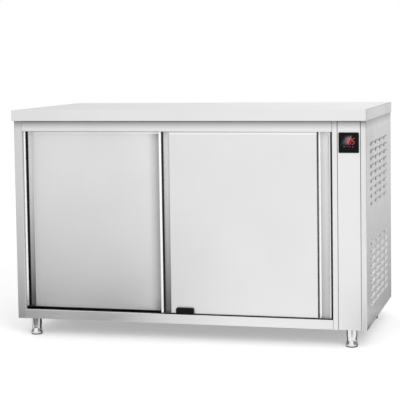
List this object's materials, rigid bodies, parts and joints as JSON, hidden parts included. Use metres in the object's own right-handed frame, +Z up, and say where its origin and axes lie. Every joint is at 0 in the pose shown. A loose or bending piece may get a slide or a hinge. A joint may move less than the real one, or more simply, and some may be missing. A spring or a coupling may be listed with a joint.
{
  "type": "plate warmer cabinet",
  "caption": "Heated stainless steel cupboard with a worktop, hanging sliding doors with full-height grips, a louvred side, a control panel and levelling feet.",
  "frame": {"origin": "on the floor, below the middle of the worktop", "axes": "+X to the right seen from the door side, +Y to the back, +Z up"},
  "size_m": [1.33, 0.7, 0.85],
  "materials": {
    "worktop_steel": "fine lengthways brushing",
    "panel_steel": "fine brushing, satin",
    "door_steel": "fine brushing, satin",
    "liner_steel": "dull mill finish",
    "zinc_steel": "zinc plated",
    "chrome": "polished",
    "board": "raw particle board",
    "mineral_wool": "soft pressed fibre",
    "foam": "rigid foam fill",
    "rubber": "black, slightly glossy",
    "black_plastic": "black, fine texture",
    "guide_plastic": "grey, smooth",
    "display_black": "black, glossy",
    "nylon": "off-white nylon",
    "heater_steel": "heat darkened",
    "motor_aluminium": "as cast"
  },
  "bodies": {
    "cabinet": {"worktop": "worktop_steel", "worktop_board": "board", "left_side": "panel_steel", "right_side": "panel_steel", "back_panel": "panel_steel", "base_panel": "panel_steel", "top_rail": "panel_steel", "bottom_rail": "panel_steel", "divider_panel": "panel_steel", "control_cover": "panel_steel", "controller_case": "black_plastic", "controller_lens": "display_black", "chamber_floor": "liner_steel", "chamber_ceiling": "liner_steel", "chamber_left_wall": "liner_steel", "chamber_right_wall": "liner_steel", "chamber_back_wall": "liner_steel", "insulation_left": "mineral_wool", "insulation_back": "mineral_wool", "insulation_top": "mineral_wool", "insulation_floor": "mineral_wool", "insulation_divider": "mineral_wool", "shelf_supports": "liner_steel", "door_track": "zinc_steel", "bottom_guide": "guide_plastic", "door_buffers": "rubber", "air_guide": "liner_steel", "heating_element": "heater_steel", "fan_motor": "motor_aluminium", "safety_thermostat": "black_plastic", "terminal_block": "guide_plastic", "cable_gland": "black_plastic", "leg_bolts": "zinc_steel", "leg_inserts": "black_plastic", "leg_front_left": "chrome", "leg_front_right": "chrome", "leg_rear_left": "chrome", "leg_rear_right": "chrome"},
    "left_door": {"left_door_skin": "door_steel", "left_door_inner": "door_steel", "left_door_core": "foam", "left_door_hangers": "zinc_steel"},
    "right_door": {"right_door_skin": "door_steel", "right_door_inner": "door_steel", "right_door_core": "foam", "right_door_hangers": "zinc_steel"},
    "left_door_left_roller": {"left_door_left_roller": "nylon"},
    "left_door_right_roller": {"left_door_right_roller": "nylon"},
    "right_door_left_roller": {"right_door_left_roller": "nylon"},
    "right_door_right_roller": {"right_door_right_roller": "nylon"},
    "foot_front_left": {"foot_front_left": "chrome", "foot_pad_front_left": "rubber"},
    "foot_front_right": {"foot_front_right": "chrome", "foot_pad_front_right": "rubber"},
    "foot_rear_left": {"foot_rear_left": "chrome", "foot_pad_rear_left": "rubber"},
    "foot_rear_right": {"foot_rear_right": "chrome", "foot_pad_rear_right": "rubber"},
    "shelf": {"shelf": "liner_steel"},
    "fan_impeller": {"fan_impeller": "motor_aluminium"}
  },
  "joints": [
    {"name": "left_door_slide", "type": "slide", "parent": "cabinet", "child": "left_door", "axis": [1, 0, 0], "range_m": [0, 0.5]},
    {"name": "right_door_slide", "type": "slide", "parent": "cabinet", "child": "right_door", "axis": [1, 0, 0], "range_m": [-0.5, 0]},
    {"name": "left_door_left_roller_turn", "type": "hinge", "parent": "left_door", "child": "left_door_left_roller", "pos_m": [-0.537, -0.2605, 0.7898], "axis": [0, 1, 0], "continuous": true},
    {"name": "left_door_right_roller_turn", "type": "hinge", "parent": "left_door", "child": "left_door_right_roller", "pos_m": [-0.122, -0.2605, 0.7898], "axis": [0, 1, 0], "continuous": true},
    {"name": "right_door_left_roller_turn", "type": "hinge", "parent": "right_door", "child": "right_door_left_roller", "pos_m": [0.009, -0.2995, 0.7898], "axis": [0, 1, 0], "continuous": true},
    {"name": "right_door_right_roller_turn", "type": "hinge", "parent": "right_door", "child": "right_door_right_roller", "pos_m": [0.424, -0.2995, 0.7898], "axis": [0, 1, 0], "continuous": true},
    {"name": "foot_front_left_adjust", "type": "slide", "parent": "cabinet", "child": "foot_front_left", "axis": [0, 0, -1], "range_m": [0, 0.025]},
    {"name": "foot_front_right_adjust", "type": "slide", "parent": "cabinet", "child": "foot_front_right", "axis": [0, 0, -1], "range_m": [0, 0.025]},
    {"name": "foot_rear_left_adjust", "type": "slide", "parent": "cabinet", "child": "foot_rear_left", "axis": [0, 0, -1], "range_m": [0, 0.025]},
    {"name": "foot_rear_right_adjust", "type": "slide", "parent": "cabinet", "child": "foot_rear_right", "axis": [0, 0, -1], "range_m": [0, 0.025]},
    {"name": "shelf_lift", "type": "slide", "parent": "cabinet", "child": "shelf", "axis": [0, 0, 1], "range_m": [0, 0.06]},
    {"name": "fan_turn", "type": "hinge", "parent": "cabinet", "child": "fan_impeller", "pos_m": [0.5, 0.03, 0.435], "axis": [1, 0, 0], "continuous": true}
  ],
  "couplings": [
    {"joint": "left_door_left_roller_turn", "follows": "left_door_slide", "rad_per_m": 83.333},
    {"joint": "left_door_right_roller_turn", "follows": "left_door_slide", "rad_per_m": 83.333},
    {"joint": "right_door_left_roller_turn", "follows": "right_door_slide", "rad_per_m": 83.333},
    {"joint": "right_door_right_roller_turn", "follows": "right_door_slide", "rad_per_m": 83.333}
  ]
}
